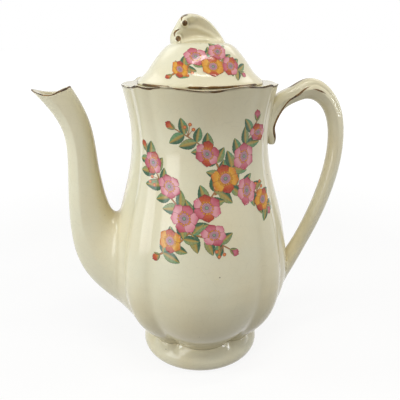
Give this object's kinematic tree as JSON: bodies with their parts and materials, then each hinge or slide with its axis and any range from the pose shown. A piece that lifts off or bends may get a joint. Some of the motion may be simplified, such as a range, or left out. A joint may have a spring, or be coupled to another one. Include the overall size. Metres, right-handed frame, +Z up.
{
  "type": "coffee pot",
  "caption": "Glazed earthenware coffee pot with a lobed pear body on a foot ring, swan-neck spout, strap handle and a lift-off domed lid, edged with thin gilt lines.",
  "frame": {"origin": "centre of the plane that the foot ring rests on, on the axis of the body and lid", "axes": "+Z up along the axis of the body and lid, -X towards the spout, +X towards the handle, -Y towards the side that the picture shows"},
  "size_m": [0.1772, 0.1054, 0.2012],
  "materials": {
    "glaze": "glossy cream glaze, finely crazed, with a painted spray of flowers on body and lid",
    "gilding": "thin worn brown-gold line fired on the glaze"
  },
  "bodies": {
    "pot": {"pot_body": "glaze", "foot_ring": "glaze", "spout": "glaze", "handle": "glaze", "rim_gilding": "gilding", "spout_gilding": "gilding"},
    "lid": {"lid_dome": "glaze", "lid_finial": "glaze", "lid_gilding": "gilding"}
  },
  "joints": [
    {"name": "lid_lift", "type": "slide", "parent": "pot", "child": "lid", "axis": [0, 0, 1], "range_m": [0, 0.06]}
  ]
}
